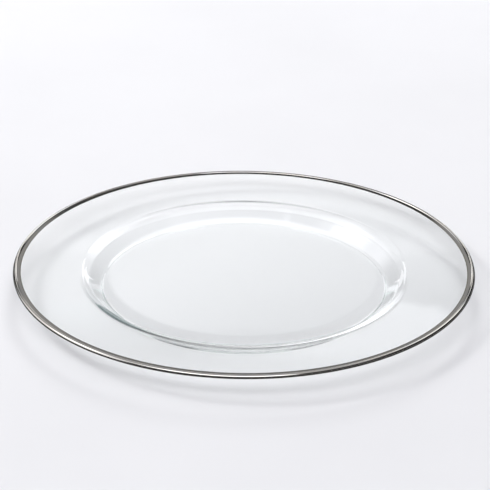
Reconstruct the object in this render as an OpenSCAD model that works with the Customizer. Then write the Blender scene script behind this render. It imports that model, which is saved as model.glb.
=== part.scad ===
// Charger plate: a broad, shallow plate of clear pressed glass, which a dinner plate is
// stood on. Its rim ends in a rounded bead, and a bright metal band is wrapped round the
// bead and the edge of the rim's upper face.
// The origin is at the middle of the foot, on the surface that the plate stands on, and
// +Z is up. All lengths are in millimetres and all angles in degrees.
// Every section is an outline in the half plane of radius and height, turned about +Z.

/* [Rim] */
// Diameter of the whole plate, over the band
plate_d = 330; // [300:1:360]
// Slope of the rim's upper face above the level
rim_slope = 3.5; // [2:0.5:12]
// Thickness of the glass at the inner end of the rim
rim_t = 4.2; // [2.8:0.1:5]

/* [Well] */
// Diameter at which the well's wall, carried on straight, would meet its floor
floor_d = 203; // [180:1:240]
// Width of the wall seen from above, from there to the circle where it would meet the rim
wall_run = 12.75; // [8:0.25:20]
// Depth of the floor below the circle where wall and rim would meet
well_depth = 11; // [7:0.5:13]
// Thickness of the glass between the floor and the foot
floor_t = 3.5; // [3:0.1:4.5]
// Thickness of the glass in the wall
wall_t = 3.3; // [2.8:0.1:4]
// Radius that rounds the corner between floor and wall
floor_round = 6; // [3:0.5:9]
// Radius that rounds the shoulder between wall and rim, on the upper side
shoulder_round = 12; // [5:0.5:16]
// Radius that rounds the hollow below the shoulder, on the under side
under_round = 14; // [4:0.5:16]

/* [Foot] */
// Width of the ring that the plate stands on
foot_w = 5; // [3:0.5:8]
// Height of the hollow inside the foot ring, at the plate's axis
foot_rise = 0.3; // [0.1:0.1:0.8]
// Radius that rounds the outer edge of the foot
foot_round = 1.2; // [0.4:0.1:2]

/* [Band] */
// Width of the band's flat part, on the upper face of the rim
band_w = 2.8; // [2:0.1:6]
// Thickness of the band's metal
band_t = 0.3; // [0.2:0.05:0.5]
// Diameter of the bead, over the band
bead_d = 3.1; // [2.4:0.1:3.6]
// Height of the bead above the upper face of the rim beside it
bead_rise = 0.5; // [0.2:0.05:0.6]

/* [Hidden] */
$fn = 180;

// Largest turn between two points of a rounded corner
arc_step = 4;
// Colours of the clear glass and of the bright metal
glass_colour = [0.86, 0.92, 0.91, 0.45];
metal_colour = [0.74, 0.73, 0.71];

// Directions in the section: along a slope, and at right angles to it on its upper side
function along(angle) = [cos(angle), sin(angle)];
function above(angle) = [-sin(angle), cos(angle)];

// Cross product of two directions in the section, positive for a turn to the left
function turn_of(u, v) = u.x * v.y - u.y * v.x;

// Point where the line through p along angle a meets the line through q along angle b
function meet(p, a, q, b) =
    p + along(a) * turn_of(q - p, along(b)) / turn_of(along(a), along(b));

// Points round an arc, from one angle to another
function arc(centre, radius, from, to) =
    let (steps = max(1, ceil(abs(to - from) / arc_step)))
    [for (i = [0:steps]) centre + radius * along(from + (to - from) * i / steps)];

// Points that round the corner at b, between the points a and c, to a radius
function round_corner(a, b, c, radius) =
    let (
        back = (a - b) / norm(a - b),
        ahead = (c - b) / norm(c - b),
        half = acos(back * ahead) / 2,
        middle = (back + ahead) / norm(back + ahead),
        centre = b + middle * radius / sin(half),
        left = turn_of(b - a, c - b) > 0 ? 1 : -1,
        mid_angle = atan2(-middle.y, -middle.x),
        reach = left * (90 - half)
    )
    arc(centre, radius, mid_angle - reach, mid_angle + reach);

// Outline through corners [radius from the axis, height, rounding], each rounded as it says
function rounded(corners) =
    let (last = len(corners) - 1)
    [
        for (i = [0:last])
            let (c = corners[i], p = [c.x, c.y])
            each c.z == 0 || i == 0 || i == last
                ? [p]
                : round_corner(
                    [corners[i - 1].x, corners[i - 1].y],
                    p,
                    [corners[i + 1].x, corners[i + 1].y],
                    c.z
                )
    ];

// A point of the section with the radius that rounds it
function corner(p, radius = 0) = [p.x, p.y, radius];

function reversed(points) = [for (i = [len(points) - 1:-1:0]) points[i]];

// Upper side of the section: floor, wall and rim
wall_slope = atan2(well_depth, wall_run);
floor_corner = [floor_d / 2, floor_t];
shoulder = floor_corner + [wall_run, well_depth];

// The bead, with its centre on a line that lies parallel to the rim's upper face
bead_r = bead_d / 2;
bead_x = plate_d / 2 - bead_r;
rim_rise_at_bead = (bead_x - shoulder.x) * tan(rim_slope);
bead_drop = (bead_r - bead_rise) / cos(rim_slope);
bead_centre = [bead_x, shoulder.y + rim_rise_at_bead - bead_drop];

// Where the rim's upper face runs into the bead, as an angle round the bead's centre
function junction_angle(radius, height) =
    rim_slope + 180 - asin(height / radius);
face_height = bead_r - bead_rise;
outer_junction = junction_angle(bead_r, face_height);
seat_r = bead_r - band_t;
seat_junction = junction_angle(seat_r, face_height - band_t);
bead_bottom = rim_slope - 90;

// The band's flat part, between its inner edge and the bead
outer_run = bead_centre + bead_r * along(outer_junction);
band_edge = outer_run - band_w * along(rim_slope);
seat_edge = band_edge - band_t * above(rim_slope);

// Under side of the section: foot, wall and rim
wall_under = floor_corner - wall_t * above(wall_slope);
foot_edge = meet(wall_under, wall_slope, [0, 0], 0);
rim_under = shoulder - rim_t * above(rim_slope);
rim_end = bead_centre + bead_r * along(bead_bottom);
under_slope = atan2(rim_end.y - rim_under.y, rim_end.x - rim_under.x);
under_shoulder = meet(wall_under, wall_slope, rim_end, under_slope);
foot_inner = foot_edge.x - foot_w;

// The seat of the band on the glass, from under the bead, round it and in along the rim
seat_line = concat(
    arc(bead_centre, seat_r, bead_bottom, seat_junction),
    [seat_edge]
);

// Clear glass, all in one piece: foot, well, rim, and the bead that the band is seated on
module glass_plate() {
    under = rounded([
        corner([0, foot_rise]),
        corner([foot_inner, 0]),
        corner(foot_edge, foot_round),
        corner(under_shoulder, under_round),
        corner(rim_end)
    ]);
    upper = rounded([
        corner(band_edge),
        corner(shoulder, shoulder_round),
        corner(floor_corner, floor_round),
        corner([0, floor_t])
    ]);
    color(glass_colour)
        rotate_extrude()
            polygon(concat(under, seat_line, upper));
}

// Bright metal band: a thin shell round the bead with a flat lip on the rim's upper face
module rim_band() {
    outer_line = concat(
        arc(bead_centre, bead_r, bead_bottom, outer_junction),
        [band_edge]
    );
    color(metal_colour)
        rotate_extrude()
            polygon(concat(outer_line, reversed(seat_line)));
}

glass_plate();
rim_band();
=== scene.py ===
import math

import bpy
import numpy as np
from mathutils import Matrix, Vector


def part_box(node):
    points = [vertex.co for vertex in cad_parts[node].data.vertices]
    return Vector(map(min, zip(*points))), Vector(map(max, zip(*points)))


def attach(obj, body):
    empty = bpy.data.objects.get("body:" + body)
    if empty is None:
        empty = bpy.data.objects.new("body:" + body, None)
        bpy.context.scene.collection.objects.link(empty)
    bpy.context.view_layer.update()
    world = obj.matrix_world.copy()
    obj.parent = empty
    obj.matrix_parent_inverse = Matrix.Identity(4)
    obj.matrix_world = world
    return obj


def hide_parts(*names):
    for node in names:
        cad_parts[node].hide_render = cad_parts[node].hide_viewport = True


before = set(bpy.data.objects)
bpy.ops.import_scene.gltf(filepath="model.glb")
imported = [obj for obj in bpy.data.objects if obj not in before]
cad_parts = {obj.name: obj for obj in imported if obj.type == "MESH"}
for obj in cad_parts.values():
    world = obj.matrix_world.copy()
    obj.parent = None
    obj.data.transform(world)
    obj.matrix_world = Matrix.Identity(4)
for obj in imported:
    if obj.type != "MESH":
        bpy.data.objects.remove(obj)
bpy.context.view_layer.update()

bl_info = {
    "name": "Glass Charger Plate",
    "version": (1, 0, 0),
    "blender": (4, 5, 0),
    "location": "3D View > Sidebar > Charger",
    "description": "Builds a clear glass charger plate with a metal-banded rim",
    "category": "Add Mesh",
}

# The size of the plate as it was packed: the band is its outermost piece
PLATE_D = float(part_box("rim_band")[1][0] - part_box("rim_band")[0][0])
MM = 0.001

# How finely the surfaces are worked out: turns round the axis, largest step of a rounded corner,
# gap between rings on straight runs, distance of a ring from the end of a run, room that a run
# needs for rings of its own, and the angle from which an edge is drawn sharp
TURNS = 360
ARC_STEP = math.radians(3)
RING_GAP = 4 * MM
RING_EDGE = 0.35 * MM
RING_ROOM = 3 * RING_EDGE
SHARP_ANGLE = math.radians(30)

UP = np.array([0.0, 0.0, 1.0])

# Sockets of the Mix node when it mixes colours: factor, both colours and the result
MIX_INPUTS = (0, 6, 7)
MIX_RESULT = 2

# How grain, wear and the glass's slow waves are scaled in each material
BAND_GRAIN = {"Around": 24.0, "Across": 9000.0, "Detail": 3.0}
BACK_GRAIN = {"Around": 30.0, "Across": 5000.0, "Detail": 3.0}
PRESS_WAVES = {"Around": 1.6, "Across": 60.0, "Detail": 0.0}
BAND_WEAR = {"Smudge Scale": 40.0, "Scuff Scale": 420.0}
GLASS_WEAR = {"Smudge Scale": 14.0, "Scuff Scale": 120.0}
LEAST_RADIUS = 0.001 * MM

# Wear: detail and twist of the smudges, the noise values between which they come in, and those
# between which scuffs do; detail and reach of the warp of the scuffs, and their width in cells
SMUDGE_DETAIL = 5.0
SMUDGE_TWIST = 0.6
SMUDGE_RANGE = (0.42, 0.72)
SCUFF_RANGE = (0.5, 0.7)
WARP_DETAIL = 2.0
WARP_REACH = (0.02, 0.02, 0.02)
SCUFF_WIDTH = 0.035

# Scale of the faint streaks in the glass, how much paler the streaks on the metal's back are,
# and how rough that back is
TINT_SCALE = 9.0
BACK_STREAK = 1.6
BACK_ROUGH = 0.6

# The plain floor: radius in metres, sides, finish, and faint clouds that are a little darker
FLOOR_REACH = 9.0
FLOOR_SIDES = 96
FLOOR_ROUGH = 0.65
FLOOR_SPECULAR = 0.2
CLOUD_SCALE = 3.0
CLOUD_DETAIL = 4.0
CLOUD_RANGE = (0.35, 0.7)
CLOUD_SHADE = 0.965

# The soft lights of the studio: name, left and right end as degrees from straight behind the
# plate, lower and upper end as degrees above the level, and softness of the edges in degrees.
# The turn jumps from 180 to -180 on the camera's side, so a light there has two rows, and one
# that goes all round has ends past both.
SOFT_LIGHTS = (
    ("over", -400, 400, 57, 200, 6),
    ("behind", -40, 34, 29.5, 57, 1),
    ("left", -120, -40, 10, 57, 7),
    ("right", 34, 149, 38, 57, 7),
    ("corner", 9, 33, 31, 47, 3),
    ("front", -200, -120, 41, 66, 4),
    ("front", 149, 200, 41, 66, 4),
    ("window", -94, -52, 36, 51, 4),
    ("glow", -20, 0, 3, 20, 1),
    ("shade", 1.5, 20, 3, 20, 1),
)
# Most softness of a lower or upper end, and where the plain background at the skyline ends
SOFTEST_END = 3.0
SKYLINE = (2.0, 4.0)
# Streaks of the window: scale, detail, and the noise values that give the least and most light
STREAK_SCALE = (30.0, 8.0, 8.0)
STREAK_DETAIL = 3.0
STREAK_RANGE = (0.4, 0.6)
STREAK_LEVELS = (0.55, 1.3)
# Colour of the studio's light, and what its red loses in the shade
STUDIO_TONE = (0.985, 0.985, 1.02)
SHADE_RED_LOSS = 0.25

# The pale card: its colour, and where each soft step in its brightness starts and ends, as
# shares of its height for the first four and of its half width for the others
CARD_COLOUR = (0.98, 0.98, 1.0, 1.0)
FOOT_TOP = (0.49, 0.604)
WING_TOP = (0.604, 0.651)
MIDDLE_STEP = (0.67, 0.81)
SIDE_TOP = (0.896, 0.914)
FOOT_SIDE = (0.25, 0.37)
SIDE_START = (0.30, 0.39)
SIDE_END = (0.62, 0.70)
WING_START = (0.60, 0.70)
# The black ring: its sides, its height above the foot, and its finish
RING_SIDES = 64
RING_HEIGHT = 1.5 * MM
RING_COLOUR = (0.02, 0.02, 0.02, 1.0)
RING_ROUGH = 1.0
NO_COLOUR = (0.0, 0.0, 0.0, 1.0)

# The lamps: name, place and size in metres, and power in watts
LAMPS = (
    ("back_key", (0.0, 3.0, 1.6), (0.8, 0.8), 40.0),
    ("left_fill", (-1.4, 0.5, 1.34), (0.45, 0.35), 6.0),
)

# The picture's width and middle in picture points, the sensor's width in millimetres, and the
# nearest and farthest distance that the camera sees, in metres
PICTURE_WIDTH = 490.0
PICTURE_MIDDLE = 245.0
SENSOR_WIDTH = 36.0
CLIP_NEAR = 0.05
CLIP_FAR = 60.0


# The section of the plate, in the half plane of radius and height

def along(angle):
    """Unit direction at an angle above the level."""
    return np.array([math.cos(angle), math.sin(angle)])


def above(angle):
    """Unit direction at right angles to a slope, on its upper side."""
    return np.array([-math.sin(angle), math.cos(angle)])


def turn_of(u, v):
    """Cross product of two directions of the section."""
    return u[0] * v[1] - u[1] * v[0]


def meet(p, a, q, b):
    """Point where the line through p at angle a crosses the line through q at angle b."""
    return p + along(a) * turn_of(q - p, along(b)) / turn_of(along(a), along(b))


def arc(centre, radius, start, end):
    """Points round an arc: the centre plus radius * (cos, sin) of angles that go in even steps
    from start to end."""
    steps = max(1, math.ceil(abs(end - start) / ARC_STEP))
    angle = np.linspace(start, end, steps + 1)
    return centre + radius * np.stack([np.cos(angle), np.sin(angle)], axis=-1)


def round_corner(before, at, after, radius):
    """The arc that rounds the corner between two straight runs and touches both: its centre lies
    on the line that halves the corner, at radius / sin(half the corner's angle)."""
    back = (before - at) / np.linalg.norm(before - at)
    ahead = (after - at) / np.linalg.norm(after - at)
    half = math.acos(float(back @ ahead)) / 2
    middle = (back + ahead) / np.linalg.norm(back + ahead)
    centre = at + middle * radius / math.sin(half)
    side = 1 if turn_of(at - before, after - at) > 0 else -1
    mid_angle = math.atan2(-middle[1], -middle[0])
    reach = side * (math.pi / 2 - half)
    return arc(centre, radius, mid_angle - reach, mid_angle + reach)


def rounded(corners):
    """Outline through (point, radius) corners, each replaced by the arc that rounds it."""
    last = len(corners) - 1
    return np.concatenate([
        np.atleast_2d(point) if radius == 0 or i in (0, last)
        else round_corner(corners[i - 1][0], point, corners[i + 1][0], radius)
        for i, (point, radius) in enumerate(corners)
    ])


def ringed(outline):
    """The outline with extra points on its long straight runs: one close to each end of a run,
    and others a ring gap apart, so that the shading of a round corner stays in that corner."""
    step = np.linalg.norm(np.diff(outline, axis=0), axis=1)
    reach = np.concatenate([[0.0], np.cumsum(step)])
    long_run = np.flatnonzero(step > RING_ROOM)
    near_ends = np.concatenate([reach[long_run] + RING_EDGE, reach[long_run + 1] - RING_EDGE])
    even = np.arange(RING_GAP, reach[-1], RING_GAP)
    run = np.searchsorted(reach, even) - 1
    clear = np.minimum(even - reach[run], reach[run + 1] - even) > RING_ROOM
    stations = np.sort(np.concatenate([reach, near_ends, even[clear]]))
    return np.stack([
        np.interp(stations, reach, outline[:, 0]),
        np.interp(stations, reach, outline[:, 1]),
    ], axis=-1)


def plate_section(sizes):
    """Works the section out from the sizes: the glass's upper and under sides, the line that the
    band is seated on, and the outer line of the band."""
    wall_slope = math.atan2(sizes.well_depth, sizes.wall_run)
    floor_corner = np.array([sizes.floor_d / 2, sizes.floor_t])
    shoulder = floor_corner + np.array([sizes.wall_run, sizes.well_depth])

    bead_r = sizes.bead_d / 2
    bead_x = sizes.plate_d / 2 - bead_r
    rise = (bead_x - shoulder[0]) * math.tan(sizes.rim_slope)
    drop = (bead_r - sizes.bead_rise) / math.cos(sizes.rim_slope)
    bead = np.array([bead_x, shoulder[1] + rise - drop])

    seat_r = bead_r - sizes.band_t
    face = bead_r - sizes.bead_rise
    outer_join = sizes.rim_slope + math.pi - math.asin(face / bead_r)
    seat_join = sizes.rim_slope + math.pi - math.asin((face - sizes.band_t) / seat_r)
    bottom = sizes.rim_slope - math.pi / 2

    outer_run = bead + bead_r * along(outer_join)
    band_edge = outer_run - sizes.band_w * along(sizes.rim_slope)
    seat_edge = band_edge - sizes.band_t * above(sizes.rim_slope)

    wall_under = floor_corner - sizes.wall_t * above(wall_slope)
    foot_edge = meet(wall_under, wall_slope, np.zeros(2), 0)
    rim_under = shoulder - sizes.rim_t * above(sizes.rim_slope)
    rim_end = bead + bead_r * along(bottom)
    run = rim_end - rim_under
    under_slope = math.atan2(run[1], run[0])
    under_shoulder = meet(wall_under, wall_slope, rim_end, under_slope)
    foot_inner = foot_edge[0] - sizes.foot_w

    return {
        "seat": np.concatenate([arc(bead, seat_r, bottom, seat_join), [seat_edge]]),
        "outer": np.concatenate([arc(bead, bead_r, bottom, outer_join), [band_edge]]),
        "contact": np.concatenate([
            arc(bead, seat_r + sizes.contact, bottom, seat_join),
            [seat_edge + sizes.contact * above(sizes.rim_slope)],
        ]),
        "upper": rounded([
            (band_edge, 0),
            (shoulder, sizes.shoulder_round),
            (floor_corner, sizes.floor_round),
            (np.array([0, sizes.floor_t]), 0),
        ]),
        "under": rounded([
            (np.array([0, sizes.foot_rise]), 0),
            (np.array([foot_inner, 0]), 0),
            (foot_edge, sizes.foot_round),
            (under_shoulder, sizes.under_round),
            (rim_end, 0),
        ]),
    }


# Surfaces turned about +Z

def circle(count):
    """Points evenly round a unit circle on the level: x = cos(turn), y = sin(turn), z = 0."""
    turn = np.arange(count) * (2 * math.pi / count)
    return np.stack([np.cos(turn), np.sin(turn), 0 * turn], axis=-1)


def turned_mesh(name, outline, closed):
    """Turns an outline about +Z on a grid of two parameters, place along the outline and turn:
    x = radius * cos(turn), y = radius * sin(turn), z = height.
    A closed outline makes a ring. An open one starts and ends on the axis, in one point each."""
    radius, height = outline[:, None, :1], outline[:, None, 1:]
    grid = radius * circle(TURNS) + height * UP
    rows = grid if closed else grid[1:-1]
    count = len(rows)
    verts = rows.reshape(-1, 3)
    ids = np.arange(count * TURNS).reshape(count, TURNS)
    here = ids if closed else ids[:-1]
    there = np.roll(ids, -1, axis=0) if closed else ids[1:]
    quads = np.stack(
        [here, np.roll(here, -1, axis=1), np.roll(there, -1, axis=1), there], axis=-1
    ).reshape(-1, 4)
    tris = np.zeros((0, 3), dtype=int)
    if not closed:
        first, last = len(verts), len(verts) + 1
        verts = np.concatenate([verts, grid[:1, 0], grid[-1:, 0]])
        start, end = ids[0], ids[-1]
        tris = np.concatenate([
            np.stack([np.full(TURNS, first), np.roll(start, -1), start], axis=-1),
            np.stack([end, np.roll(end, -1), np.full(TURNS, last)], axis=-1),
        ])
    corners = np.concatenate([quads.ravel(), tris.ravel()])
    starts = np.concatenate([
        np.arange(len(quads)) * 4, len(quads) * 4 + np.arange(len(tris)) * 3
    ])
    mesh = bpy.data.meshes.new(name)
    mesh.vertices.add(len(verts))
    mesh.vertices.foreach_set("co", verts.ravel())
    mesh.loops.add(len(corners))
    mesh.loops.foreach_set("vertex_index", corners)
    mesh.polygons.add(len(starts))
    mesh.polygons.foreach_set("loop_start", starts)
    mesh.polygons.foreach_set("use_smooth", np.ones(len(starts), dtype=bool))
    mesh.update(calc_edges=True)
    if mesh.validate():
        raise RuntimeError(name + ": the turned surface has a bad face")
    mesh.set_sharp_from_angle(angle=SHARP_ANGLE)
    return mesh


def place_piece(name, mesh, material, node):
    """Links a finished surface to the scene, in place of the CAD node that it refines."""
    mesh.materials.append(material)
    piece = bpy.data.objects.new(name, mesh)
    bpy.context.scene.collection.objects.link(piece)
    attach(piece, "root")
    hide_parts(node)


# Materials

class Graph:
    """Adds nodes to a node tree and links them in one step."""

    def __init__(self, tree):
        self.tree = tree

    def node(self, kind, inputs=(), **settings):
        """A new node with its settings, and inputs given as (socket, value or output) pairs."""
        made = self.tree.nodes.new(kind)
        for key, value in settings.items():
            setattr(made, key, value)
        for socket, value in inputs:
            if isinstance(value, bpy.types.NodeSocket):
                self.tree.links.new(value, made.inputs[socket])
            else:
                made.inputs[socket].default_value = value
        return made

    def math(self, operation, *values):
        """The result of a Math node on numbers or sockets."""
        return self.node("ShaderNodeMath", enumerate(values), operation=operation).outputs[0]

    def link(self, output, node, name):
        """Links an output to the named input of a node."""
        self.tree.links.new(output, node.inputs[name])

    def group(self, tree, values):
        """The outputs of a group's node with the given values of its inputs."""
        return self.node("ShaderNodeGroup", values.items(), node_tree=tree).outputs

    def place(self):
        """The place on the object, as a vector."""
        return self.node("ShaderNodeTexCoord").outputs["Object"]

    def split(self, vector):
        """The x, y and z of a vector."""
        return tuple(self.node("ShaderNodeSeparateXYZ", [("Vector", vector)]).outputs)

    def distance(self, x, y):
        """Distance from the middle: the square root of x * x + y * y."""
        total = self.math("MULTIPLY_ADD", x, x, self.math("MULTIPLY", y, y))
        return self.math("SQRT", total)

    def remap(self, value, low, high, to_low=0.0, to_high=1.0):
        """A value between low and high, carried over to another range in a soft step."""
        made = self.node(
            "ShaderNodeMapRange",
            enumerate((value, low, high, to_low, to_high)),
            interpolation_type="SMOOTHSTEP",
        )
        return made.outputs[0]

    def patch(self, value, low, high, soft):
        """1 between low and high and 0 outside, with a soft step at each."""
        rise = self.remap(value, low - soft, low + soft)
        fall = self.remap(value, high - soft, high + soft, 1.0, 0.0)
        return self.math("MULTIPLY", rise, fall)

    def blend(self, factor, first, second):
        """A colour between two others."""
        inputs = zip(MIX_INPUTS, (factor, first, second))
        return self.node("ShaderNodeMix", inputs, data_type="RGBA").outputs[MIX_RESULT]

    def bump(self, height, distance):
        """The normal of a surface that rises by the distance where the height is 1."""
        inputs = (("Height", height), ("Distance", distance), ("Strength", 1.0))
        return self.node("ShaderNodeBump", inputs).outputs["Normal"]


def opaque(colour):
    """A colour with its alpha of 1, as the nodes take it."""
    return (*colour, 1.0)


def new_group(name, inputs, outputs):
    """A shader node group with named number inputs and outputs: its tree, graph and both ends.
    The inputs start with the values that they are given here."""
    tree = bpy.data.node_groups.new(name, "ShaderNodeTree")
    for label, default in inputs.items():
        made = tree.interface.new_socket(name=label, in_out="INPUT", socket_type="NodeSocketFloat")
        made.default_value = default
    for label in outputs:
        tree.interface.new_socket(name=label, in_out="OUTPUT", socket_type="NodeSocketFloat")
    start = tree.nodes.new("NodeGroupInput")
    end = tree.nodes.new("NodeGroupOutput")
    return tree, Graph(tree), start.outputs, end


def turned_grain_group():
    """Grain that runs round the plate: noise read at (cos turn, sin turn) times one scale and at
    radius plus height times another, so that it has no seam and is drawn out round the rim."""
    name = "turned_grain"
    if name in bpy.data.node_groups:
        return bpy.data.node_groups[name]
    tree, graph, given, end = new_group(name, BAND_GRAIN, ["Grain"])
    x, y, z = graph.split(graph.place())
    radius = graph.distance(x, y)
    safe = graph.math("MAXIMUM", radius, LEAST_RADIUS)
    across = graph.math("MULTIPLY", graph.math("ADD", radius, z), given["Across"])
    round_x = graph.math("MULTIPLY", graph.math("DIVIDE", x, safe), given["Around"])
    round_y = graph.math("MULTIPLY", graph.math("DIVIDE", y, safe), given["Around"])
    spot = graph.node("ShaderNodeCombineXYZ", enumerate((round_x, round_y, across))).outputs[0]
    noise = graph.node(
        "ShaderNodeTexNoise", [("Vector", spot), ("Scale", 1.0), ("Detail", given["Detail"])]
    )
    graph.link(noise.outputs["Fac"], end, "Grain")
    return tree


def handling_wear_group():
    """Wear from handling: faint smudges, and fine scuffs where a warped cell pattern is thin."""
    name = "handling_wear"
    if name in bpy.data.node_groups:
        return bpy.data.node_groups[name]
    tree, graph, given, end = new_group(name, BAND_WEAR, ["Smudge", "Scuff"])
    place = graph.place()
    smudge = graph.node("ShaderNodeTexNoise", [
        ("Vector", place),
        ("Scale", given["Smudge Scale"]),
        ("Detail", SMUDGE_DETAIL),
        ("Distortion", SMUDGE_TWIST),
    ]).outputs["Fac"]
    warp = graph.node("ShaderNodeTexNoise", [
        ("Vector", place),
        ("Scale", given["Scuff Scale"]),
        ("Detail", WARP_DETAIL),
    ]).outputs["Color"]
    bent = graph.node(
        "ShaderNodeVectorMath", enumerate((warp, WARP_REACH)), operation="MULTIPLY"
    ).outputs[0]
    moved = graph.node(
        "ShaderNodeVectorMath", enumerate((place, bent)), operation="ADD"
    ).outputs[0]
    cells = graph.node(
        "ShaderNodeTexVoronoi",
        [("Vector", moved), ("Scale", given["Scuff Scale"])],
        feature="DISTANCE_TO_EDGE",
    )
    thin = graph.remap(cells.outputs["Distance"], 0.0, SCUFF_WIDTH, 1.0, 0.0)
    patch = graph.remap(smudge, *SCUFF_RANGE)
    graph.link(graph.remap(smudge, *SMUDGE_RANGE), end, "Smudge")
    graph.link(graph.math("MULTIPLY", thin, patch), end, "Scuff")
    return tree


def new_material(name):
    """A material with its Principled shader, ready to be wired."""
    material = bpy.data.materials.new(name)
    material.use_nodes = True
    graph = Graph(material.node_tree)
    return material, graph, material.node_tree.nodes["Principled BSDF"]


def clear_glass_material(look):
    """Clear pressed glass: slow waves left by the press, faint smudges, and shade that lets the
    light of the lamps through to what lies under it. Light that is caught between the glass's
    own faces comes out after a few turns, with the green of thick glass."""
    material, graph, shader = new_material("clear_glass")
    shader.inputs["Transmission Weight"].default_value = 1.0
    shader.inputs["IOR"].default_value = look.ior

    wear = graph.group(handling_wear_group(), GLASS_WEAR)
    haze = graph.math("MULTIPLY", wear["Smudge"], look.smudge)
    rough = graph.math("MULTIPLY_ADD", wear["Scuff"], look.scuff, haze)
    graph.link(rough, shader, "Roughness")

    streaks = graph.node(
        "ShaderNodeTexNoise", [("Vector", graph.place()), ("Scale", TINT_SCALE)]
    ).outputs["Fac"]
    tint = graph.blend(streaks, opaque(look.body_colour), opaque(look.streak_colour))
    graph.link(tint, shader, "Base Color")

    waves = graph.group(turned_grain_group(), PRESS_WAVES)
    graph.link(graph.bump(waves["Grain"], look.wave), shader, "Normal")

    path = graph.node("ShaderNodeLightPath").outputs
    caught = graph.math("GREATER_THAN", path["Glossy Depth"], look.caught_turns)
    green, clear = (
        graph.node("ShaderNodeBsdfTransparent", [("Color", opaque(tone))]).outputs[0]
        for tone in (look.caught_colour, look.shade_colour)
    )
    surface = shader.outputs[0]
    for share, through in (
        (caught, green), (path["Is Diffuse Ray"], clear), (path["Is Shadow Ray"], clear)
    ):
        mixed = graph.node("ShaderNodeMixShader", enumerate((share, surface, through)))
        surface = mixed.outputs[0]
    graph.link(surface, graph.tree.nodes["Material Output"], "Surface")
    return material


def band_metal_material(look, inner_edge):
    """Bright platinum-coloured metal, fired on: warm and cool patches, grain drawn out round the
    rim, a thin olive fringe at the inner edge, and scuffs from handling."""
    material, graph, shader = new_material("band_metal")
    shader.inputs["Metallic"].default_value = 1.0
    grain = graph.group(turned_grain_group(), BAND_GRAIN)["Grain"]
    wear = graph.group(handling_wear_group(), BAND_WEAR)

    metal = graph.blend(wear["Smudge"], opaque(look.metal_colour), opaque(look.cool_colour))
    x, y, _ = graph.split(graph.place())
    waver = graph.math("MULTIPLY_ADD", grain, look.fringe, inner_edge)
    inwards = graph.math("SUBTRACT", graph.distance(x, y), waver)
    fringe = graph.remap(inwards, 0.0, look.fringe, 1.0, 0.0)
    colour = graph.blend(fringe, metal, opaque(look.fringe_colour))
    graph.link(colour, shader, "Base Color")

    brushed = graph.math("MULTIPLY_ADD", grain, look.grain_rough, look.rough)
    rough = graph.math("MULTIPLY_ADD", wear["Scuff"], look.scuff, brushed)
    graph.link(rough, shader, "Roughness")
    graph.link(graph.bump(grain, look.grain_depth), shader, "Normal")
    return material


def fired_back_material(look):
    """The back of the fired metal, which shows through the glass of the bead: dark and dull,
    with the same drawn-out grain."""
    material, graph, shader = new_material("band_back")
    grain = graph.group(turned_grain_group(), BACK_GRAIN)["Grain"]
    paler = [BACK_STREAK * share for share in look.back_colour]
    colour = graph.blend(grain, opaque(look.back_colour), opaque(paler))
    graph.link(colour, shader, "Base Color")
    shader.inputs["Roughness"].default_value = BACK_ROUGH
    return material


# Sizes and looks that a user would change

def length(name, description, millimetres):
    """A length property, given in millimetres."""
    return bpy.props.FloatProperty(
        name=name, description=description, default=millimetres * MM, unit="LENGTH", precision=5
    )


def slope(name, description, degrees):
    """An angle property, given in degrees."""
    return bpy.props.FloatProperty(
        name=name, description=description, default=math.radians(degrees), unit="ROTATION"
    )


def number(name, description, default):
    """A plain number property."""
    return bpy.props.FloatProperty(
        name=name, description=description, default=default, precision=4
    )


def colour(name, description, default):
    """A colour property."""
    return bpy.props.FloatVectorProperty(
        name=name,
        description=description,
        default=default,
        subtype="COLOR",
        size=3,
        min=0,
        max=1,
    )


class ChargerSizes(bpy.types.PropertyGroup):
    """Sizes of the plate's section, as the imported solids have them"""

    plate_d: bpy.props.FloatProperty(
        name="Plate Diameter", description="Diameter over the band", default=PLATE_D, unit="LENGTH"
    )
    rim_slope: slope("Rim Slope", "Slope of the rim's upper face above the level", 3.5)
    rim_t: length("Rim Thickness", "Glass at the inner end of the rim", 4.2)
    floor_d: length("Floor Diameter", "Where the wall would meet the floor", 203)
    wall_run: length("Wall Run", "Width of the wall seen from above", 12.75)
    well_depth: length("Well Depth", "Depth of the floor below the shoulder", 11)
    floor_t: length("Floor Thickness", "Glass between the floor and the foot", 3.5)
    wall_t: length("Wall Thickness", "Glass in the wall of the well", 3.3)
    floor_round: length("Floor Rounding", "Radius between floor and wall", 6)
    shoulder_round: length("Shoulder Rounding", "Radius between wall and rim", 12)
    under_round: length("Under Rounding", "Radius between wall and rim on the under side", 14)
    foot_w: length("Foot Width", "Width of the ring that the plate stands on", 5)
    foot_rise: length("Foot Rise", "Height of the underside's middle", 0.3)
    foot_round: length("Foot Rounding", "Radius of the foot's outer edge", 1.2)
    band_w: length("Band Width", "Flat part of the band on the rim", 2.8)
    band_t: length("Band Thickness", "Thickness of the metal", 0.3)
    bead_d: length("Bead Diameter", "Bead at the edge, over the band", 3.1)
    bead_rise: length("Bead Rise", "Height of the bead above the rim beside it", 0.5)
    contact: length("Contact", "Depth to which glass and metal share the seat", 0.1)


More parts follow.
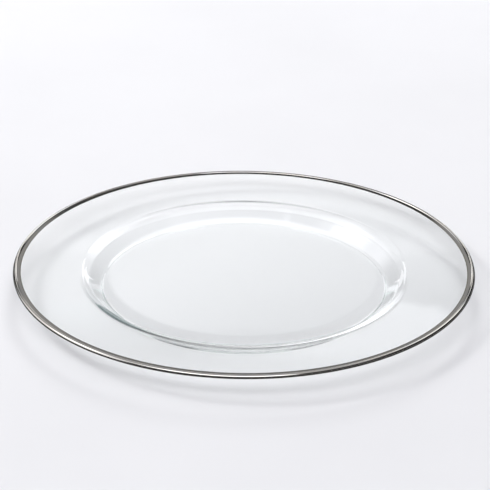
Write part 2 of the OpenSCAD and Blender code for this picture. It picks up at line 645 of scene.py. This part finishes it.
class GlassLook(bpy.types.PropertyGroup):
    """Finish of the clear glass"""

    body_colour: colour("Glass Colour", "Colour of the clear glass", (0.988, 0.996, 0.993))
    streak_colour: colour("Streak Colour", "Colour of its faint streaks", (0.982, 0.993, 0.988))
    shade_colour: colour("Shade Colour", "Light that reaches what lies under", (0.985, 0.99, 0.988))
    caught_colour: colour("Caught Colour", "Light that was caught in the glass", (0.72, 0.78, 0.76))
    caught_turns: number("Caught Turns", "Turns after which caught light comes out", 1.5)
    ior: number("Index", "Index of refraction of the glass", 1.52)
    smudge: number("Smudge", "Roughness of faint smudges", 0.012)
    scuff: number("Scuff", "Roughness of fine scuffs", 0.03)
    wave: length("Wave", "Height of the slow waves left by the press", 0.02)


class BandLook(bpy.types.PropertyGroup):
    """Finish of the fired metal band"""

    metal_colour: colour("Metal Colour", "Warm tone of the metal", (0.64, 0.615, 0.565))
    cool_colour: colour("Cool Colour", "Cool tone of the metal", (0.585, 0.58, 0.565))
    fringe_colour: colour("Fringe Colour", "Thin metal at the inner edge", (0.36, 0.34, 0.25))
    back_colour: colour("Back Colour", "Back of the metal, seen through glass", (0.03, 0.03, 0.028))
    rough: number("Roughness", "Roughness of the clean metal", 0.02)
    grain_rough: number("Grain Roughness", "Roughness that the grain adds", 0.02)
    scuff: number("Scuff", "Roughness that scuffs add", 0.18)
    fringe: length("Fringe", "Width of the fringe at the inner edge", 0.45)
    grain_depth: length("Grain Depth", "Depth of the grain", 0.0002)


class StageLook(bpy.types.PropertyGroup):
    """Floor, light and camera"""

    floor_colour: colour("Floor Colour", "Colour of the plain floor", (0.80, 0.80, 0.81))
    floor_gap: length("Floor Gap", "Air between the floor and the foot", 0.02)
    # Painted light on the floor seen through glass: its glow, and a ring of painted shade below the
    # wall of the well
    through_value: number("Through Level", "Level that the floor gains seen through glass", 0.16)
    through_most: number("Through Most", "Largest level that it gains there", 0.23)
    drift_back: number("Drift Back", "Gain of that level for each metre to the back", 0.9)
    drift_right: number("Drift Right", "Gain of that level for each metre to the right", -0.85)
    wall_loss: number("Wall Loss", "What that level loses below the wall of the well", 0.26)
    wall_shift: length("Wall Shift", "How far back the middle of the ring that loses it lies", 17)
    wall_in: length("Wall Inside", "Inner radius of that ring", 98)
    wall_out: length("Wall Outside", "Outer radius of that ring", 116)
    wall_soft: length("Wall Softness", "Softness of both its edges", 4)
    card_foot: number("Card Foot Level", "Level of the card's foot, in its middle", 0.9)
    card_low: number("Card Low Level", "Level of the card's grey middle, low down", 0.16)
    card_middle: number("Card Middle Level", "Level of the card's grey middle, high up", 0.33)
    card_side: number("Card Side Level", "Level of the card's pale sides", 2.0)
    card_wing: number("Card Wing Level", "Level of the card's low outer parts", 1.5)
    card_half: length("Card Half Width", "Half the width of the pale card", 1100)
    card_far: length("Card Distance", "How far behind the plate the pale card stands", 3000)
    card_top: slope("Card Top", "Elevation of the pale card's upper edge", 31.0)
    ring_inner: length("Ring Inner Radius", "Inner radius of the black ring", 166)
    ring_outer: length("Ring Outer Radius", "Outer radius of the black ring", 900)
    dim_value: number("Dim Level", "Level of the studio outside its soft lights", 0.025)
    light_value: number("Light Level", "Share of these levels that lights dull surfaces", 1.05)
    over_value: number("Overhead Level", "Level that is added overhead", 0.55)
    behind_value: number("Behind Level", "Level that is added behind the plate", 0.45)
    left_value: number("Left Level", "Level that is added on the left", 1.3)
    right_value: number("Right Level", "Level that is added on the right", 0.08)
    corner_value: number("Corner Level", "Level that is added behind on the right", 1.7)
    front_value: number("Front Level", "Level that is added above the camera", 3.3)
    window_value: number("Window Level", "Level that the window adds on the left", 2.2)
    glow_value: number("Glow Level", "Level that is added low down behind on the left", 1.5)
    shade_value: number("Shade Level", "Level that is added low down behind on the right", 0.2)
    sky_value: number("Skyline Level", "Level of the plain background at the skyline", 0.78)
    tilt: slope("Camera Tilt", "How far the camera looks down", 25.895)
    roll: bpy.props.FloatProperty(
        name="Camera Roll",
        description="Turn of the camera about its own line of sight",
        default=0.00925,
        unit="ROTATION",
    )
    distance: length("Camera Distance", "From the lens to the middle of the foot", 1726.8)
    focal: number("Focal Pixels", "Focal length in widths of a picture point", 2400)
    centre_x: number("Centre X", "Picture point at which the middle of the foot lies", 243.87)
    centre_y: number("Centre Y", "Picture point at which the middle of the foot lies", 286.636)


# Operators

class CHARGER_OT_glass_plate(bpy.types.Operator):
    """Add the clear pressed glass: foot, well, rim and bead, turned from one section"""

    bl_idname = "charger.glass_plate"
    bl_label = "Glass Plate"

    def execute(self, context):
        section = plate_section(context.scene.charger_sizes)
        outline = np.concatenate([
            ringed(section["under"]),
            section["contact"],
            ringed(section["upper"]),
        ])
        name = "glass_plate_clear"
        mesh = turned_mesh(name, outline, closed=False)
        material = clear_glass_material(context.scene.charger_glass)
        place_piece(name, mesh, material, "glass_plate")
        return {"FINISHED"}


class CHARGER_OT_rim_band(bpy.types.Operator):
    """Add the metal band: a thin shell round the bead, with a flat lip on the rim"""

    bl_idname = "charger.rim_band"
    bl_label = "Metal Band"

    def execute(self, context):
        look = context.scene.charger_band
        section = plate_section(context.scene.charger_sizes)
        outer, seat = section["outer"], section["seat"][::-1]
        name = "rim_band_bright"
        mesh = turned_mesh(name, np.concatenate([outer, seat]), closed=True)
        material = band_metal_material(look, float(outer[-1, 0]))
        place_piece(name, mesh, material, "rim_band")
        mesh.materials.append(fired_back_material(look))
        # Faces between two rings of the seat show the back of the metal
        count = len(outer) + len(seat)
        rows = np.repeat(np.arange(count), TURNS)
        back = (rows >= len(outer)) & (rows < count - 1)
        mesh.polygons.foreach_set("material_index", back.astype(np.int32))
        return {"FINISHED"}


class CHARGER_OT_stage(bpy.types.Operator):
    """Add the plain pale floor, the soft studio light and the camera"""

    bl_idname = "charger.stage"
    bl_label = "Studio Stage"

    def execute(self, context):
        look = context.scene.charger_stage
        add_floor(look)
        add_studio(look)
        add_cards(look)
        for lamp in LAMPS:
            add_lamp(*lamp)
        add_camera(look)
        context.scene.view_settings.view_transform = "Standard"
        return {"FINISHED"}


def add_floor(look):
    """A plain round floor, wide enough to reach the skyline of every view. Seen through glass it
    is a little brighter, by a painted glow that grows to the back and to the left, and that is
    less in a soft ring below the wall of the well, a painted shade of the wall."""
    mesh = bpy.data.meshes.new("studio_floor")
    rim = FLOOR_REACH * circle(FLOOR_SIDES)
    mesh.from_pydata(rim.tolist(), [], [tuple(range(FLOOR_SIDES))])
    material, graph, shader = new_material("studio_floor")
    place = graph.place()
    cloud = graph.node(
        "ShaderNodeTexNoise",
        [("Vector", place), ("Scale", CLOUD_SCALE), ("Detail", CLOUD_DETAIL)],
    ).outputs["Fac"]
    pale = opaque(look.floor_colour)
    deep = opaque([CLOUD_SHADE * share for share in look.floor_colour])
    colour = graph.blend(graph.remap(cloud, *CLOUD_RANGE), pale, deep)
    graph.link(colour, shader, "Base Color")
    shader.inputs["Roughness"].default_value = FLOOR_ROUGH
    shader.inputs["Specular IOR Level"].default_value = FLOOR_SPECULAR

    x, y, _ = graph.split(place)
    # Painted light: seen through glass the floor glows, more to the back and to the left
    painted_glow = graph.math("MULTIPLY_ADD", x, look.drift_right, look.through_value)
    painted_glow = graph.math("MULTIPLY_ADD", y, look.drift_back, painted_glow)
    reach = graph.distance(x, graph.math("SUBTRACT", y, look.wall_shift))
    # Painted shade: the glow is less in a soft ring below the wall of the well
    wall_shade_ring = graph.patch(reach, look.wall_in, look.wall_out, look.wall_soft)
    painted_glow = graph.math("MULTIPLY_ADD", wall_shade_ring, -look.wall_loss, painted_glow)
    painted_glow = graph.math("MINIMUM", graph.math("MAXIMUM", painted_glow, 0.0), look.through_most)
    through = graph.node("ShaderNodeLightPath").outputs["Is Transmission Ray"]
    shader.inputs["Emission Color"].default_value = pale
    graph.link(graph.math("MULTIPLY", through, painted_glow), shader, "Emission Strength")

    mesh.materials.append(material)
    floor = bpy.data.objects.new("studio_floor", mesh)
    floor.location.z = -look.floor_gap
    bpy.context.scene.collection.objects.link(floor)


def add_studio(look):
    """The world as a soft studio, by turn from straight behind the plate and by height above the
    level. Every row of the soft lights adds its own level between its four ends, the window's
    in streaks. All is dim between them, and a plain pale background lies at the skyline."""
    world = bpy.data.worlds.new("studio")
    bpy.context.scene.world = world
    world.use_nodes = True
    graph = Graph(world.node_tree)
    direction = graph.node("ShaderNodeTexCoord").outputs["Generated"]
    drawn_out = graph.node("ShaderNodeMapping", [("Vector", direction), ("Scale", STREAK_SCALE)])
    streak = graph.node("ShaderNodeTexNoise", [
        ("Vector", drawn_out.outputs[0]),
        ("Scale", 1.0),
        ("Detail", STREAK_DETAIL),
    ]).outputs["Fac"]
    uneven = graph.remap(streak, *STREAK_RANGE, *STREAK_LEVELS)

    x, y, z = graph.split(direction)
    height = graph.math("ARCSINE", z)
    turn = graph.math("ARCTAN2", x, y)
    level = look.dim_value
    tone = list(STUDIO_TONE)
    for name, left, right, foot, head, soft in SOFT_LIGHTS:
        soft_end = min(soft, SOFTEST_END)
        inside = graph.math(
            "MULTIPLY",
            graph.patch(turn, *map(math.radians, (left, right, soft))),
            graph.patch(height, *map(math.radians, (foot, head, soft_end))),
        )
        if name == "window":
            inside = graph.math("MULTIPLY", inside, uneven)
        if name == "shade":
            tone[0] = graph.math("MULTIPLY_ADD", inside, -SHADE_RED_LOSS, tone[0])
        level = graph.math("MULTIPLY_ADD", inside, getattr(look, name + "_value"), level)
    low = graph.remap(height, *map(math.radians, SKYLINE), 1.0, 0.0)
    level = graph.math("MULTIPLY_ADD", graph.math("SUBTRACT", look.sky_value, level), low, level)

    channels = [graph.math("MULTIPLY", level, share) for share in tone]
    colour = graph.node("ShaderNodeCombineColor", enumerate(channels)).outputs[0]
    backdrop = world.node_tree.nodes["Background"]
    graph.link(colour, backdrop, "Color")
    lights = graph.node("ShaderNodeLightPath").outputs["Is Diffuse Ray"]
    strength = graph.math("MULTIPLY_ADD", lights, look.light_value - 1.0, 1.0)
    graph.link(strength, backdrop, "Strength")


def add_cards(look):
    """Two studio cards, seen only in reflections. A pale card stands behind the plate: low down
    it has a pale foot in its middle and bright wings at its outer ends, above them a grey middle
    between bright sides, and then a dim upper edge. A black ring lies round the plate, just above
    the floor."""
    add_card(pale_card(look))
    add_card(black_ring(look))


def pale_card(look):
    """The upright card, from the floor up to distance * tan(elevation). Its brightness is worked
    out from the height, and from the distance to the middle on either side."""
    half, far = look.card_half, look.card_far
    top = far * math.tan(look.card_top)
    mesh = bpy.data.meshes.new("pale_card")
    mesh.from_pydata(
        [(half, far, 0.0), (-half, far, 0.0), (-half, far, top), (half, far, top)],
        [],
        [(0, 1, 2, 3)],
    )
    material, graph, shader = new_material("pale_card")
    x, _, height = graph.split(graph.place())
    aside = graph.math("ABSOLUTE", x)

    def up(step, below, over):
        """From one level to another over a soft step in height."""
        return graph.remap(height, step[0] * top, step[1] * top, below, over)

    def out(step, inner, outer):
        """From one level to another over a soft step in the distance to the middle."""
        return graph.remap(aside, step[0] * half, step[1] * half, inner, outer)

    dim = look.dim_value
    middle = up(MIDDLE_STEP, look.card_low, look.card_middle)
    side = out(SIDE_END, out(SIDE_START, middle, look.card_side), dim)
    foot = out(FOOT_SIDE, look.card_foot, dim)
    inner = up(FOOT_TOP, foot, up(SIDE_TOP, side, dim))
    wing = up(WING_TOP, out(WING_START, dim, look.card_wing), dim)
    shader.inputs["Base Color"].default_value = NO_COLOUR
    shader.inputs["Emission Color"].default_value = CARD_COLOUR
    graph.link(graph.math("MAXIMUM", inner, wing), shader, "Emission Strength")
    mesh.materials.append(material)
    return mesh


def black_ring(look):
    """The flat ring between two circles: x = radius * cos(turn), y = radius * sin(turn)."""
    sides = circle(RING_SIDES)
    lift = RING_HEIGHT * UP
    verts = np.concatenate([look.ring_inner * sides + lift, look.ring_outer * sides + lift])
    ids = np.arange(RING_SIDES)
    outer = ids + RING_SIDES
    faces = np.stack([ids, outer, np.roll(outer, -1), np.roll(ids, -1)], axis=-1)
    mesh = bpy.data.meshes.new("black_ring")
    mesh.from_pydata(verts.tolist(), [], faces.tolist())
    material, _, shader = new_material("black_ring")
    shader.inputs["Base Color"].default_value = RING_COLOUR
    shader.inputs["Roughness"].default_value = RING_ROUGH
    mesh.materials.append(material)
    return mesh


def add_card(mesh):
    """Links a card to the scene, where only glass and metal show it."""
    card = bpy.data.objects.new(mesh.name, mesh)
    bpy.context.scene.collection.objects.link(card)
    card.visible_camera = False
    card.visible_transmission = False
    card.visible_diffuse = False
    card.visible_shadow = False


def add_lamp(name, place, size, energy):
    """A soft rectangular lamp that faces the plate, and that glass and metal don't show."""
    lamp = bpy.data.lights.new(name, "AREA")
    lamp.shape = "RECTANGLE"
    lamp.size, lamp.size_y = size
    lamp.energy = energy
    made = bpy.data.objects.new(name, lamp)
    bpy.context.scene.collection.objects.link(made)
    made.location = place
    made.rotation_euler = (-Vector(place)).to_track_quat("-Z", "Y").to_euler()
    made.visible_glossy = False
    made.visible_transmission = False


def add_camera(look):
    """A camera that looks down at the plate: forward, right and up are worked out from tilt and
    roll, and the lens lies so that the middle of the foot falls on the given picture point."""
    forward = np.array([0.0, math.cos(look.tilt), -math.sin(look.tilt)])
    level = np.array([1.0, 0.0, 0.0])
    upright = np.cross(level, forward)
    right = level * math.cos(look.roll) + upright * math.sin(look.roll)
    up = -level * math.sin(look.roll) + upright * math.cos(look.roll)
    off_x = (look.centre_x - PICTURE_MIDDLE) / look.focal * look.distance
    off_y = (PICTURE_MIDDLE - look.centre_y) / look.focal * look.distance
    place = -(forward * look.distance + right * off_x + up * off_y)
    lens = bpy.data.cameras.new("camera")
    lens.sensor_width = SENSOR_WIDTH
    lens.lens = look.focal / PICTURE_WIDTH * SENSOR_WIDTH
    lens.clip_start, lens.clip_end = CLIP_NEAR, CLIP_FAR
    camera = bpy.data.objects.new("camera", lens)
    bpy.context.scene.collection.objects.link(camera)
    pose = np.eye(4)
    pose[:3] = np.stack([right, up, -forward, place], axis=-1)
    camera.matrix_world = Matrix(pose)
    bpy.context.scene.camera = camera


class CHARGER_PT_panel(bpy.types.Panel):
    """Lists the pieces and the stage"""

    bl_label = "Glass Charger Plate"
    bl_idname = "CHARGER_PT_panel"
    bl_space_type = "VIEW_3D"
    bl_region_type = "UI"
    bl_category = "Charger"

    def draw(self, context):
        for operator in OPERATORS:
            self.layout.operator(operator.bl_idname)


OPERATORS = (CHARGER_OT_glass_plate, CHARGER_OT_rim_band, CHARGER_OT_stage)
GROUPS = (
    ("charger_sizes", ChargerSizes),
    ("charger_glass", GlassLook),
    ("charger_band", BandLook),
    ("charger_stage", StageLook),
)


def register():
    """Registers the property groups, the operators and the panel."""
    for name, group in GROUPS:
        bpy.utils.register_class(group)
        setattr(bpy.types.Scene, name, bpy.props.PointerProperty(type=group))
    for made in (*OPERATORS, CHARGER_PT_panel):
        bpy.utils.register_class(made)


def unregister():
    """Takes back what register() added."""
    for made in (CHARGER_PT_panel, *reversed(OPERATORS)):
        bpy.utils.unregister_class(made)
    for name, group in reversed(GROUPS):
        delattr(bpy.types.Scene, name)
        bpy.utils.unregister_class(group)


def main():
    register()
    bpy.ops.charger.glass_plate()
    bpy.ops.charger.rim_band()
    bpy.ops.charger.stage()


if __name__ == "__main__":
    main()
